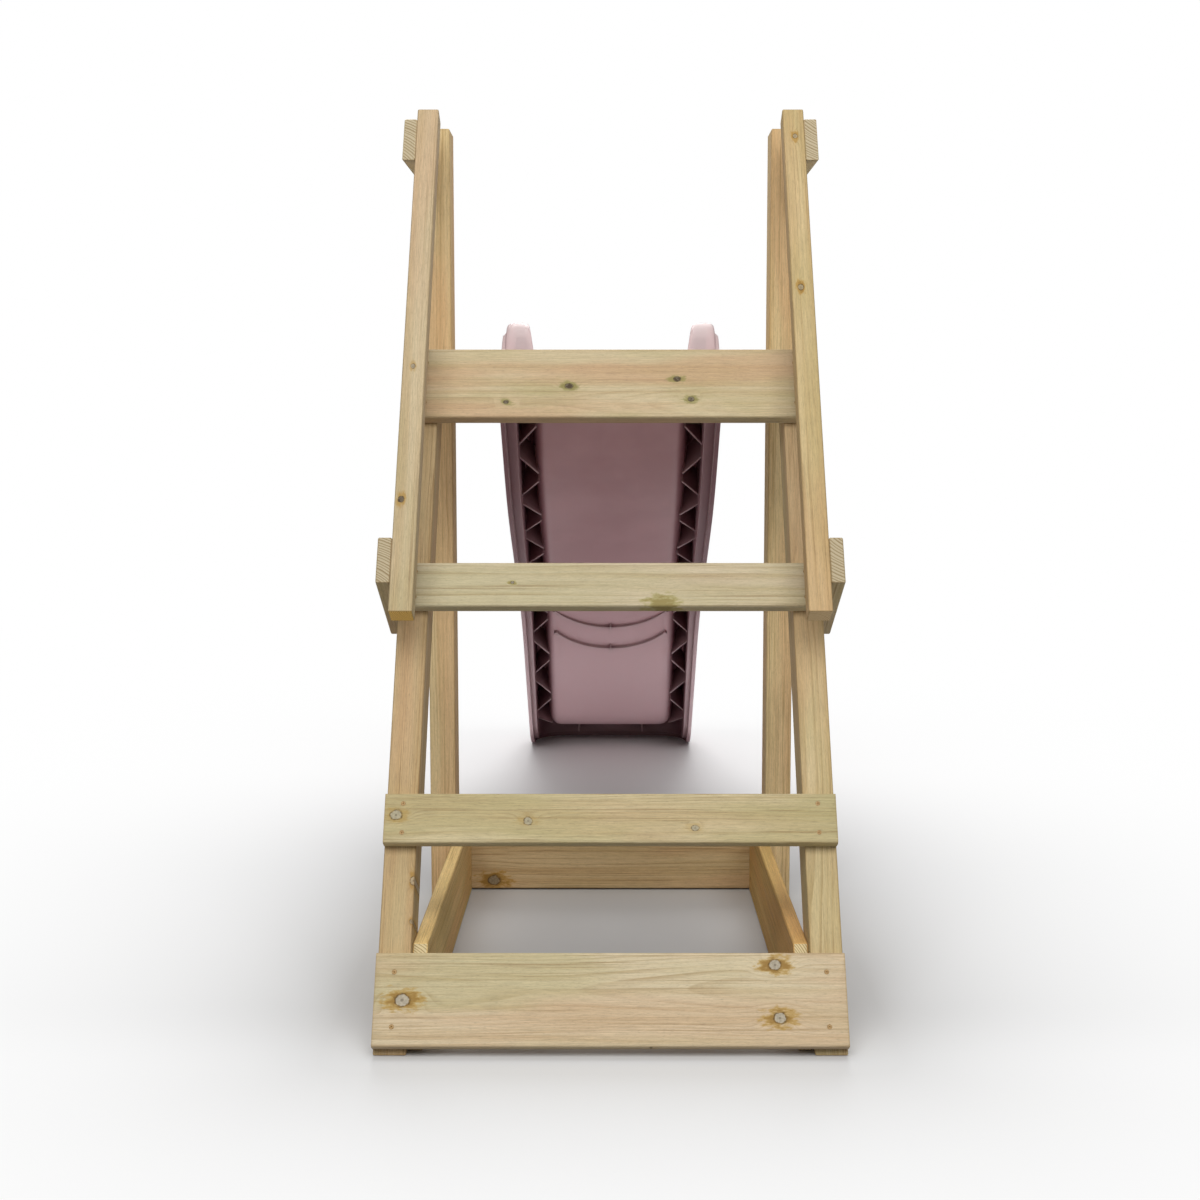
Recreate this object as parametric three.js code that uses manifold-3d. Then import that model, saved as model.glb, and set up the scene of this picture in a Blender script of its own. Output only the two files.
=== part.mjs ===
// Freestanding garden slide for small children: a pine ladder frame with handrails and a small
// deck, and one moulded wavy chute.
// Millimetres, +Z up. The ladder is at -Y, the chute runs out towards +Y, X is symmetric.
// The origin is on the ground, in the middle of the whole slide.

import * as THREE from 'three';
import { mergeVertices } from 'three/addons/utils/BufferGeometryUtils.js';
import Module from 'manifold-3d';

const wasm = await Module();
wasm.setup();

// Clearances
const seat = 0.3; // between two pieces that are screwed face to face
const overrun = 20; // how far a cutting solid passes the face that it cuts

// Timber sections
const frameWidth = 642; // over the outer faces of the ladder sides
const postWide = 45;
const postDeep = 70;
const boardThick = 21;
const boardWide = 127;
const battenWide = 73;
const railSide = 35;
const plateEase = 2; // eased edges of posts, rails, brackets and boards on edge
const treadRound = 4; // rounded long edges of the steps and deck boards

// Ladder
const ladderLean = THREE.MathUtils.degToRad(60); // from the ground
const deckHeight = 965;
const bottomStepAlong = 7.5; // lower edges of the steps, measured up the ladder side
const secondStepAlong = 289;
const thirdStepAlong = 654;
const guardHeight = 389; // rear posts above the deck

// Handrails
const railStart = 608; // up the ladder side
const railRise = 17.6; // top front corner of the handrail above the rear post
const railStandoff = 72; // clear space between the ladder side and the handrail
const bracketSetback = 3; // bracket ends behind the front of the handrail
const bracketTail = 18; // lower bracket past the back of the ladder side
const lowerBracketAlong = 655;
const upperBracketLength = 156; // along its top edge, from the slanted end to the back of the rear post

// Boards at the ground
const groundBoardSetback = 15.6; // square to the ladder, behind its front face
const rearBoardLift = 2;

// Deck
const deckGap = 4; // between the two deck boards

// Wood screws: two at each end of the steps, and two at each end of the rail brackets
const screwHead = 7; // diameter
const screwHeadDeep = 3;
const screwShank = 3.6;
const screwLength = 45;
const screwPoint = 5; // length of the tapered tip
const screwDrive = 2.4; // diameter of the recess in the head
const screwDriveDeep = 1.6;
const screwSides = 8;
const screwAcrossShare = 0.58; // of a post's width, in from the outer face of the ladder side
const screwSpreadShare = 0.29; // of a board's width, either side of its middle
const screwBackShare = 0.72; // of a ladder side's depth, behind the tips of the step screws

// Chute, along its side view
const lipThick = 8;
const lipOverlap = 72; // how far the lip lies on the deck and the cross rail
const plateLength = 157; // level start before the first slope
const firstSlope = THREE.MathUtils.degToRad(42);
const waveSlope = THREE.MathUtils.degToRad(28);
const secondSlope = THREE.MathUtils.degToRad(43);
const firstRun = 369;
const waveRun = 620;
const runOut = 175;
const brinkRadius = 150;
const waveRadius = 900;
const landingRadius = 200;
const bendStep = THREE.MathUtils.degToRad(5); // turn between two sections round a bend

// Chute, across
const chuteHalf = 212; // outside of the side walls
const sideWide = 69; // one side wall, from its outside to the foot of the trough's wall
const skirtDrop = 54; // bed surface to the lower edge of the skirt
const rimHeight = 120; // bed surface to the top of the side walls
const bedSpread = 14; // the trough is wider at its foot than at its head, on each side
const rimStepIn = 12; // the rim's outer face, inside the skirt's
const outerLean = 5; // the side wall's outer face leans in by this up to the step under the rim
const rimRound = 13;
const rimStepDrop = 23; // rim top to the outward step of the side wall
const rimStepSlope = 8;
const bedCorner = 23;
const skin = 5;
const edgeBand = 9; // thickness of the skirt's lower edge
const ledgeRise = 12; // lower edge to the ledge inside it
const ledgeWide = 23; // ledge between the skirt and the channel, at the head
const cornerSteps = 4;
const wallDraftShare = 0.138; // sideways lean of the trough's walls, for their height
const lowCornerShare = 0.6; // of a low side wall, taken by its lower and upper rounding
const lowRoundShare = 0.4;

// Chute, start and end
const plateRim = 9; // low rim beside the level start
const earStart = THREE.MathUtils.degToRad(26); // slope of the bed where the ears rise
const earLength = 38; // along the bed, from the foot of the ears to their full height
const earHeight = 134;
const earFade = 180; // from the ears' full height down to the long walls
const roundSteps = 6;
const noseLength = 90; // the side walls round down over the end of the run-out
const noseEnd = 24; // height of the side walls above the bed at the very end
const endCorner = 100; // plan radius of the run-out's corners
const startCorner = 12;
const endWall = 7;
const lipInset = 16; // lip narrower than the chute, on each side
const lipCorner = 24;

// Chute, ribs underneath
const ribThick = 3;
const ribStart = 62; // first corner of the zigzag, from the head of the chute
const ribRun = 58; // along the chute, one rib
const ribGap = 29.7; // between the ends of two ribs
const ribInset = 4; // rib ends sunk into the walls of the channel
const ribTop = 60; // above the bed; the ribs hang down as far as the bed's own level
const smileSpacing = 88; // between the two curved ribs under the bed
const smileHalfSpan = 136;
const smileSag = 68;
const smileWide = 8;
const smileDeep = 8;
const smileTick = 28;
const smileTickDeep = 14;
const smileBeforeLanding = 371.5; // lower curved rib, up the slope from the landing corner
const smileSteps = 16;
const footRibHalf = 86; // from the middle to each of the two ribs under the run-out
const footRibDeep = 24; // below the bed's skin

const rimOuterHalf = chuteHalf - rimStepIn;
const bedFlatHalf = chuteHalf - sideWide - bedCorner;
const channelOuterHalf = chuteHalf - edgeBand - ledgeWide;
const lipHalf = chuteHalf - lipInset;
const innerHalf = frameWidth / 2 - postWide;
const outerHalf = frameWidth / 2;
const leanCos = Math.cos(ladderLean);
const leanSin = Math.sin(ladderLean);

const pine = new THREE.MeshStandardMaterial({ color: 0xc9b68c, roughness: 0.75, metalness: 0 });
const warmPine = new THREE.MeshStandardMaterial({ color: 0xc8a66c, roughness: 0.75, metalness: 0 });
const plastic = new THREE.MeshStandardMaterial({ color: 0xc79fa6, roughness: 0.4, metalness: 0 });
const steel = new THREE.MeshStandardMaterial({ color: 0x8a7a5c, roughness: 0.4, metalness: 0.8 });

const slide = new THREE.Group();

// Solids for joining and cutting

function solidOf(geometry) {
  const bare = geometry.clone();
  bare.deleteAttribute('normal');
  bare.deleteAttribute('uv');
  const merged = mergeVertices(bare);
  return new wasm.Manifold(new wasm.Mesh({
    numProp: 3,
    vertProperties: new Float32Array(merged.attributes.position.array),
    triVerts: new Uint32Array(merged.index.array),
  }));
}

function geometryOf(solid) {
  const mesh = solid.getMesh();
  const geometry = new THREE.BufferGeometry();
  geometry.setAttribute('position', new THREE.BufferAttribute(mesh.vertProperties, 3));
  geometry.setIndex(new THREE.BufferAttribute(mesh.triVerts, 1));
  geometry.computeVertexNormals();
  return geometry;
}

function addPiece(name, geometry, material, x = 0) {
  const mesh = new THREE.Mesh(geometry, material);
  mesh.name = name;
  mesh.position.x = x;
  slide.add(mesh);
}

// Half outline of a screw, or of its hole where it is grown by a clearance, from the tip upwards
function screwOutline(grown, above) {
  const side = screwShank / 2 + grown;
  const head = screwHead / 2 + grown;
  return [
    new THREE.Vector2(0, -screwLength - grown),
    new THREE.Vector2(side, screwPoint - screwLength),
    new THREE.Vector2(side, -screwHeadDeep),
    new THREE.Vector2(head, 0),
    ...above,
  ];
}

const screwShape = new THREE.LatheGeometry(screwOutline(0, [
  new THREE.Vector2(screwDrive / 2, 0),
  new THREE.Vector2(0, -screwDriveDeep),
]), screwSides);
const holeShape = new THREE.LatheGeometry(screwOutline(seat, [
  new THREE.Vector2(screwHead / 2 + seat, overrun),
  new THREE.Vector2(0, overrun),
]), screwSides);

// A screw driven in at a place, its head flush with the face that looks along out, and its hole in
// each piece that it passes
function addScrew(name, place, out, pieces) {
  const turn = new THREE.Quaternion().setFromUnitVectors(new THREE.Vector3(0, 1, 0), out);
  const driven = new THREE.Matrix4().compose(place, turn, new THREE.Vector3(1, 1, 1));
  pieces.forEach((piece) => {
    const mesh = slide.getObjectByName(piece);
    const hole = holeShape.clone().applyMatrix4(driven).translate(-mesh.position.x, 0, 0);
    mesh.geometry = geometryOf(solidOf(mesh.geometry).subtract(solidOf(hole)));
  });
  addPiece(name, screwShape.clone().applyMatrix4(driven), steel);
}

// Outlines in the side view: x of the shape is Y of the slide, y of the shape is its height

const sideView = new THREE.Matrix4().makeBasis(
  new THREE.Vector3(0, 1, 0),
  new THREE.Vector3(0, 0, 1),
  new THREE.Vector3(1, 0, 0),
);

// A place on the ladder: a distance up its front face, and a distance out of that face
function ladderPoint(along, out) {
  return new THREE.Vector2(along * leanCos - out * leanSin, along * leanSin + out * leanCos);
}

// Where a line at a distance out of the ladder's front face passes a height
function ladderAt(height, out) {
  return new THREE.Vector2((height * leanCos - out) / leanSin, height);
}

function ladderBox(along, length, out, depth) {
  return [
    ladderPoint(along, out + depth),
    ladderPoint(along, out),
    ladderPoint(along + length, out),
    ladderPoint(along + length, out + depth),
  ];
}

function uprightBox(y, depth, height, rise) {
  return [
    new THREE.Vector2(y, height),
    new THREE.Vector2(y + depth, height),
    new THREE.Vector2(y + depth, height + rise),
    new THREE.Vector2(y, height + rise),
  ];
}

function roundedOutline(points, radius) {
  const shape = new THREE.Shape();
  points.forEach((corner, i) => {
    const before = points[(i + points.length - 1) % points.length];
    const after = points[(i + 1) % points.length];
    const start = corner.clone().add(before.clone().sub(corner).setLength(radius));
    const end = corner.clone().add(after.clone().sub(corner).setLength(radius));
    if (i === 0) {
      shape.moveTo(start.x, start.y);
    } else {
      shape.lineTo(start.x, start.y);
    }
    shape.quadraticCurveTo(corner.x, corner.y, end.x, end.y);
  });
  shape.closePath();
  return shape;
}

// A board across the slide: rounded long edges, square ends
function crossBoard(points, length) {
  const geometry = new THREE.ExtrudeGeometry(roundedOutline(points, treadRound), {
    depth: length,
    bevelEnabled: false,
    curveSegments: 3,
  });
  return geometry.translate(0, 0, -length / 2).applyMatrix4(sideView);
}

// A timber seen from the side, with all its edges eased
function sideTimber(points, thick) {
  const geometry = new THREE.ExtrudeGeometry(new THREE.Shape(points), {
    depth: thick - 2 * plateEase,
    bevelThickness: plateEase,
    bevelSize: plateEase,
    bevelOffset: -plateEase,
    bevelSegments: 2,
  });
  return geometry.translate(0, 0, plateEase).applyMatrix4(sideView);
}

// One on each side of the slide, between two distances from the middle
function addPair(name, points, inner, thick, material) {
  addPiece(`${name}_left`, sideTimber(points, thick), material, -inner - thick);
  addPiece(`${name}_right`, sideTimber(points, thick), material, inner);
}

// Ladder sides and rear posts. The posts stand where the upper brackets reach them from the
// handrails.

const deckUnderside = deckHeight - boardThick;
const sideTop = deckUnderside - seat;
const rearPostHeight = deckHeight + guardHeight;
const railFront = railStandoff + railSide;
const railEnd = (rearPostHeight + railRise - railFront * leanCos) / leanSin;
const bracketEnd = railFront - bracketSetback;
const upperBracketFront = ladderAt(rearPostHeight, bracketEnd);
const postFar = upperBracketFront.x + upperBracketLength;
const postNear = postFar - postDeep;

addPair('ladder_side', [
  ladderAt(0, 0),
  ladderAt(0, -postDeep),
  ladderAt(sideTop, -postDeep),
  ladderAt(sideTop, 0),
], innerHalf, postWide, pine);

addPair('rear_post', uprightBox(postNear, postDeep, 0, rearPostHeight), innerHalf, postWide, pine);

// Steps on the front of the ladder sides, and the board that closes the front of the deck

function addStep(name, along, wide) {
  addPiece(name, crossBoard(ladderBox(along, wide, seat, boardThick), frameWidth), pine);
}

const topBoardEnd = (deckHeight - (seat + boardThick / 2) * leanCos) / leanSin;

addStep('bottom_step', bottomStepAlong, boardWide);
addStep('second_step', secondStepAlong, battenWide);
addStep('third_step', thirdStepAlong, battenWide);
addStep('deck_front_board', topBoardEnd - boardWide, boardWide);

// Handrails and the brackets that carry them

const bracketInner = outerHalf + seat;

addPair(
  'handrail',
  ladderBox(railStart, railEnd - railStart, railStandoff, railSide),
  outerHalf - railSide,
  railSide,
  pine,
);

addPair(
  'lower_rail_bracket',
  ladderBox(lowerBracketAlong, battenWide, -postDeep - bracketTail, postDeep + bracketTail + bracketEnd),
  bracketInner,
  boardThick,
  pine,
);

addPair('upper_rail_bracket', [
  ladderAt(rearPostHeight - battenWide, bracketEnd),
  new THREE.Vector2(postFar, rearPostHeight - battenWide),
  new THREE.Vector2(postFar, rearPostHeight),
  upperBracketFront,
], bracketInner, boardThick, pine);

// Screws through the steps into the ladder sides

const sides = [['left', -1], ['right', 1]];
const ladderOut = new THREE.Vector3(0, -leanSin, leanCos);
const stepScrewX = outerHalf - postWide * screwAcrossShare;

function screwStep(step, along, wide) {
  sides.forEach(([side, sign]) => {
    [['lower', -1], ['upper', 1]].forEach(([row, up]) => {
      const place = ladderPoint(along + wide / 2 + up * wide * screwSpreadShare, seat + boardThick);
      addScrew(
        `${step}_screw_${row}_${side}`,
        new THREE.Vector3(sign * stepScrewX, place.x, place.y),
        ladderOut,
        [step, `ladder_side_${side}`],
      );
    });
  });
}

screwStep('bottom_step', bottomStepAlong, boardWide);
screwStep('second_step', secondStepAlong, battenWide);
screwStep('third_step', thirdStepAlong, battenWide);
screwStep('deck_front_board', topBoardEnd - boardWide, boardWide);

// Screws through the brackets, into the handrails at one end and the frame at the other

function screwBracket(bracket, joint, places, timber) {
  sides.forEach(([side, sign]) => {
    places.forEach((place, i) => {
      addScrew(
        `${bracket}_screw_${joint}_${i + 1}_${side}`,
        new THREE.Vector3(sign * (bracketInner + boardThick), place.x, place.y),
        new THREE.Vector3(sign, 0, 0),
        [`${bracket}_${side}`, `${timber}_${side}`],
      );
    });
  });
}

const bracketSpread = battenWide * screwSpreadShare;
const lowerMiddle = lowerBracketAlong + battenWide / 2;
const railMiddle = railStandoff + railSide / 2;
const upperMiddle = rearPostHeight - battenWide / 2;
const postMiddle = (postNear + postFar) / 2;

screwBracket('lower_rail_bracket', 'rail', [-1, 1].map((up) => (
  ladderPoint(lowerMiddle + up * bracketSpread, railMiddle)
)), 'handrail');
screwBracket('lower_rail_bracket', 'frame', [-1, 1].map((up) => (
  ladderPoint(lowerMiddle + up * bracketSpread, -postDeep * screwBackShare)
)), 'ladder_side');
screwBracket('upper_rail_bracket', 'rail', [-1, 1].map((up) => (
  ladderAt(upperMiddle + up * bracketSpread, railMiddle)
)), 'handrail');
screwBracket('upper_rail_bracket', 'frame', [-1, 1].map((up) => (
  new THREE.Vector2(postMiddle + up * bracketSpread, upperMiddle + up * bracketSpread)
)), 'rear_post');

// Boards at the ground, inside the ladder sides and posts and behind the posts

addPair('ground_side_board', [
  ladderAt(0, -groundBoardSetback),
  new THREE.Vector2(postFar, 0),
  new THREE.Vector2(postFar, boardWide),
  ladderAt(boardWide, -groundBoardSetback),
], innerHalf - seat - boardThick, boardThick, warmPine);

const behindPosts = postFar + seat;

addPiece(
  'rear_ground_board',
  crossBoard(uprightBox(behindPosts, boardThick, rearBoardLift, boardWide), frameWidth),
  warmPine,
);

// Deck: bearers inside the ladder sides and posts, a cross rail behind the posts, and two boards
// that share the depth from the front board to the cross rail

addPair('deck_bearer', [
  ladderAt(sideTop - battenWide, -seat),
  new THREE.Vector2(postFar, sideTop - battenWide),
  new THREE.Vector2(postFar, sideTop),
  ladderAt(sideTop, -seat),
], innerHalf - seat - boardThick, boardThick, warmPine);

addPiece(
  'rear_cross_rail',
  crossBoard(uprightBox(behindPosts, boardThick, deckHeight - battenWide, battenWide), frameWidth),
  pine,
);

const deckFront = ladderAt(deckHeight, -seat).x;
const deckBoardWide = (postFar - deckFront - deckGap) / 2;

addPiece(
  'front_deck_board',
  crossBoard(uprightBox(deckFront, deckBoardWide, deckUnderside, boardThick), frameWidth),
  pine,
);
addPiece(
  'rear_deck_board',
  crossBoard(
    uprightBox(postFar - deckBoardWide, deckBoardWide, deckUnderside, boardThick),
    2 * (innerHalf - seat),
  ),
  pine,
);

// Chute: the bed's line in the side view is straight runs joined by round bends

const chuteStart = behindPosts + boardThick + seat;
const bedStart = deckHeight + seat + lipThick;
const bedEnd = skirtDrop;

function walk(from, slope, distance) {
  return new THREE.Vector2(from.x + distance * Math.cos(slope), from.y - distance * Math.sin(slope));
}

const startPoint = new THREE.Vector2(chuteStart, bedStart);
const brink = walk(startPoint, 0, plateLength);
const waveCorner = walk(brink, firstSlope, firstRun);
const dipCorner = walk(waveCorner, waveSlope, waveRun);
const landing = walk(dipCorner, secondSlope, (dipCorner.y - bedEnd) / Math.sin(secondSlope));
const chuteEnd = landing.x + runOut;

function bend(corner, slopeIn, slopeOut, radius) {
  const turn = slopeOut - slopeIn;
  const side = Math.sign(turn);
  const start = walk(corner, slopeIn, -radius * Math.tan(Math.abs(turn) / 2));
  const steps = Math.ceil(Math.abs(turn) / bendStep);
  const stations = [];
  for (let i = 0; i <= steps; i += 1) {
    const slope = slopeIn + (turn * i) / steps;
    stations.push({
      y: start.x + side * radius * (Math.sin(slope) - Math.sin(slopeIn)),
      z: start.y + side * radius * (Math.cos(slope) - Math.cos(slopeIn)),
      slope,
    });
  }
  return stations;
}

const line = [
  { y: chuteStart - overrun, z: bedStart, slope: 0 },
  ...bend(brink, 0, firstSlope, brinkRadius),
  ...bend(waveCorner, firstSlope, waveSlope, waveRadius),
  ...bend(dipCorner, waveSlope, secondSlope, waveRadius),
  ...bend(landing, secondSlope, 0, landingRadius),
  { y: chuteEnd + overrun, z: bedEnd, slope: 0 },
];

line.forEach((station, i) => {
  const before = line[Math.max(i - 1, 0)];
  station.along = (before.along ?? 0) + Math.hypot(station.y - before.y, station.z - before.z);
});

// The bed's place and slope at a distance along the line
function stationAt(along) {
  const far = line.find((station) => station.along >= along) ?? line[line.length - 1];
  const near = line[Math.max(line.indexOf(far), 1) - 1];
  const part = (along - near.along) / (far.along - near.along || 1);
  return {
    y: THREE.MathUtils.lerp(near.y, far.y, part),
    z: THREE.MathUtils.lerp(near.z, far.z, part),
    slope: THREE.MathUtils.lerp(near.slope, far.slope, part),
    along,
  };
}

const earFoot = brinkRadius * earStart + line[1].along;
const earFull = earFoot + earLength;
const headAlong = line[0].along + overrun;
const lineEnd = line[line.length - 1].along - overrun;
const noseStart = lineEnd - noseLength;

// Height of the side walls above the bed: low beside the level start, a quarter round up to the
// ears, the long walls, and a quarter round down at the end
function rimAt(along) {
  if (along < earFull) {
    const left = Math.min((earFull - along) / earLength, 1);
    return plateRim + (earHeight - plateRim) * Math.sqrt(1 - left * left);
  }
  if (along < noseStart) {
    const fade = THREE.MathUtils.smoothstep(along, earFull, earFull + earFade);
    return THREE.MathUtils.lerp(earHeight, rimHeight, fade);
  }
  const passed = Math.min((along - noseStart) / noseLength, 1);
  return noseEnd + (rimHeight - noseEnd) * Math.sqrt(1 - passed * passed);
}

// Widening of the trough, even from the head to the foot
function spreadAt(along) {
  return bedSpread * THREE.MathUtils.clamp((along - headAlong) / (lineEnd - headAlong), 0, 1);
}

// Extra sections round the two quarter rounds, closer where the height changes faster
function quarterStations(full, reach) {
  return Array.from({ length: roundSteps + 1 }, (_, i) => (
    stationAt(full + reach * Math.sin((Math.PI / 2) * (i / roundSteps)))
  ));
}

const stations = [
  ...line,
  ...quarterStations(earFull, -earLength),
  ...quarterStations(noseStart, noseLength),
  stationAt(earFull + earFade / 2),
  stationAt(earFull + earFade),
].sort((a, b) => a.along - b.along).filter((station, i, all) => (
  i === 0 || station.along - all[i - 1].along > seat
));

// A section (x across, y square to the bed), made for each wall height and widening and carried
// along the bed
function loft(section) {
  const sections = stations.map(({ along }) => section(rimAt(along), spreadAt(along)));
  const rings = stations.map((station, i) => sections[i].map((point) => [
    point.x,
    station.y + point.y * Math.sin(station.slope),
    station.z + point.y * Math.cos(station.slope),
  ]));
  const count = rings[0].length;
  const last = (rings.length - 1) * count;
  const faces = [];
  THREE.ShapeUtils.triangulateShape(sections[0], []).forEach(([a, b, c]) => {
    faces.push(a, b, c);
  });
  THREE.ShapeUtils.triangulateShape(sections[sections.length - 1], []).forEach(([a, b, c]) => {
    faces.push(last + a, last + c, last + b);
  });
  for (let near = 0; near < last; near += count) {
    for (let i = 0; i < count; i += 1) {
      const j = (i + 1) % count;
      faces.push(near + i, near + count + i, near + j);
      faces.push(near + j, near + count + i, near + count + j);
    }
  }
  const geometry = new THREE.BufferGeometry();
  geometry.setAttribute('position', new THREE.Float32BufferAttribute(rings.flat(2), 3));
  geometry.setIndex(faces);
  return solidOf(geometry);
}

// Points of the right half from below upwards, closed by their mirror image
function mirrored(half) {
  return [...half, ...half.map((point) => new THREE.Vector2(-point.x, point.y)).reverse()];
}

function arc(x, y, radiusX, radiusY, from, to) {
  return Array.from({ length: cornerSteps + 1 }, (_, i) => {
    const angle = THREE.MathUtils.degToRad(from + ((to - from) * i) / cornerSteps);
    return new THREE.Vector2(x + radiusX * Math.cos(angle), y + radiusY * Math.sin(angle));
  });
}

// Roundings and the trough's width at the rim, all smaller where the side wall is low
function troughSizes(rim, spread) {
  const flat = bedFlatHalf + spread;
  const foot = Math.min(bedCorner, rim * lowCornerShare);
  const round = Math.min(rimRound, rim * lowRoundShare);
  const top = flat + foot + (rim - foot - round) * wallDraftShare;
  return { flat, foot, round, top };
}

function outerSection(rim, spread) {
  const { round } = troughSizes(rim, spread);
  return mirrored([
    new THREE.Vector2(chuteHalf, -skirtDrop),
    new THREE.Vector2(chuteHalf - outerLean, rim - rimStepDrop - rimStepSlope),
    new THREE.Vector2(rimOuterHalf, rim - rimStepDrop),
    ...arc(rimOuterHalf - round, rim - round, round, round, 0, 90),
  ]);
}

function troughSection(rim, spread) {
  const { flat, foot, round, top } = troughSizes(rim, spread);
  return mirrored([
    ...arc(flat, foot, foot, foot, -90, 0),
    ...arc(top + round, rim - round, round, round, 180, 90),
    new THREE.Vector2(top + round, rim + overrun),
  ]);
}

function hollowSection(rim, spread) {
  const { flat, foot, round, top } = troughSizes(rim, spread);
  const footRise = Math.min(foot, rim - round - skin);
  const channelOuter = channelOuterHalf + spread;
  return mirrored([
    new THREE.Vector2(chuteHalf - edgeBand, -skirtDrop - overrun),
    new THREE.Vector2(chuteHalf - edgeBand, ledgeRise - skirtDrop),
    new THREE.Vector2(channelOuter, ledgeRise - skirtDrop),
    new THREE.Vector2(channelOuter, rim - skin),
    new THREE.Vector2(top + round, rim - skin),
    new THREE.Vector2(top + skin, rim - skin - round / 2),
    ...arc(flat, footRise, foot + skin, footRise + skin, 0, -90),
  ]);
}

// Upright prism of the chute's plan from one height to another, drawn in at its head, its sides
// and its foot
function planPrism(head, side, foot, bottom, top) {
  const startY = chuteStart + head;
  const endY = chuteEnd - foot;
  const half = chuteHalf - side;
  const round = endCorner - foot;
  const arcX = chuteHalf - endCorner;
  const shape = new THREE.Shape();
  shape.moveTo(-half, startY + startCorner);
  shape.quadraticCurveTo(-half, startY, startCorner - half, startY);
  shape.lineTo(half - startCorner, startY);
  shape.quadraticCurveTo(half, startY, half, startY + startCorner);
  shape.lineTo(half, chuteEnd - endCorner);
  shape.absarc(arcX, chuteEnd - endCorner, round, 0, Math.PI / 2, false);
  shape.absarc(-arcX, chuteEnd - endCorner, round, Math.PI / 2, Math.PI, false);
  shape.lineTo(-half, chuteEnd - endCorner);
  shape.closePath();
  const geometry = new THREE.ExtrudeGeometry(shape, {
    depth: top - bottom,
    bevelEnabled: false,
    curveSegments: 10,
  });
  return solidOf(geometry.translate(0, 0, bottom));
}

// The lip that lies on the deck and the cross rail
function lip() {
  const shape = new THREE.Shape();
  const front = chuteStart - lipOverlap;
  shape.moveTo(-lipHalf, chuteStart + skin);
  shape.lineTo(-lipHalf, front + lipCorner);
  shape.quadraticCurveTo(-lipHalf, front, lipCorner - lipHalf, front);
  shape.lineTo(lipHalf - lipCorner, front);
  shape.quadraticCurveTo(lipHalf, front, lipHalf, front + lipCorner);
  shape.lineTo(lipHalf, chuteStart + skin);
  shape.closePath();
  const geometry = new THREE.ExtrudeGeometry(shape, {
    depth: lipThick,
    bevelEnabled: false,
    curveSegments: 6,
  });
  return solidOf(geometry.translate(0, 0, bedStart - lipThick));
}

// Turns x across, y down the slope and z square to the bed into the slide's own directions
function bedFrame(station) {
  const { y, z, slope } = station;
  return new THREE.Matrix4().makeBasis(
    new THREE.Vector3(1, 0, 0),
    new THREE.Vector3(0, Math.cos(slope), -Math.sin(slope)),
    new THREE.Vector3(0, Math.sin(slope), Math.cos(slope)),
  ).setPosition(0, y, z);
}

// Zigzag ribs that stiffen the channels inside the side walls, the same on both sides
function zigzagRibs() {
  const across = channelOuterHalf - bedFlatHalf - bedCorner - skin + 2 * ribInset;
  const pitch = ribRun + ribGap;
  const first = headAlong + ribStart;
  const count = Math.floor((lineEnd - first) / pitch);
  const ribs = [];
  for (let i = 0; i < count; i += 1) {
    const along = first + pitch * (i + 1 / 2);
    const frame = bedFrame(stationAt(along));
    const middle = channelOuterHalf + spreadAt(along) + ribInset - across / 2;
    [-1, 1].forEach((side) => {
      const rib = new THREE.BoxGeometry(Math.hypot(across, ribRun), ribThick, ribTop);
      const lean = Math.atan2(ribRun, across) * (i % 2 === 0 ? -side : side);
      rib.rotateZ(lean);
      rib.translate(side * middle, 0, ribTop / 2);
      ribs.push(solidOf(rib.applyMatrix4(frame)));
    });
  }
  return ribs;
}

// Two curved ribs under the bed on the second slope, each with a short tick across its middle
function curvedRibs() {
  const radius = (smileHalfSpan ** 2 + smileSag ** 2) / (2 * smileSag);
  const from = Math.asin((radius - smileSag) / radius);
  const depth = smileDeep + skin / 2;
  const ribs = [];
  for (let i = 0; i < 2; i += 1) {
    const place = walk(landing, secondSlope, -smileBeforeLanding - i * smileSpacing);
    const frame = bedFrame({ y: place.x, z: place.y, slope: secondSlope });
    const shape = new THREE.Shape();
    shape.absarc(0, -radius, radius + smileWide / 2, from, Math.PI - from, false);
    shape.absarc(0, -radius, radius - smileWide / 2, Math.PI - from, from, true);
    shape.closePath();
    const rib = new THREE.ExtrudeGeometry(shape, { depth, bevelEnabled: false, curveSegments: smileSteps });
    const tick = new THREE.BoxGeometry(ribThick, smileTick, smileTickDeep + skin / 2);
    rib.translate(0, 0, -skin - smileDeep);
    tick.translate(0, 0, (smileTickDeep + skin / 2) / 2 - skin - smileTickDeep);
    [rib, tick].forEach((piece) => {
      ribs.push(solidOf(piece.applyMatrix4(frame)));
    });
  }
  return ribs;
}

// Two straight ribs under the run-out, from the end of the landing bend into the end wall
function footRibs() {
  const start = line[line.length - 2].y;
  const length = chuteEnd - start;
  return [-1, 1].map((side) => {
    const rib = new THREE.BoxGeometry(ribThick, length, footRibDeep + skin);
    return solidOf(rib.translate(side * footRibHalf, start + length / 2, bedEnd - (footRibDeep + skin) / 2));
  });
}

function chute() {
  const tallest = bedStart + earHeight + overrun;
  const endLedge = chuteHalf - channelOuterHalf - bedSpread;
  const inside = planPrism(endWall, edgeBand, endLedge, -overrun, tallest)
    .add(planPrism(endWall, edgeBand, edgeBand, -overrun, ledgeRise));
  let hollow = loft(hollowSection).intersect(inside);
  [...zigzagRibs(), ...curvedRibs(), ...footRibs()].forEach((rib) => {
    hollow = hollow.subtract(rib);
  });
  const body = loft(outerSection).intersect(planPrism(0, 0, 0, 0, tallest));
  return geometryOf(body.subtract(loft(troughSection)).add(lip()).subtract(hollow));
}

addPiece('slide_chute', chute(), plastic);

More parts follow.
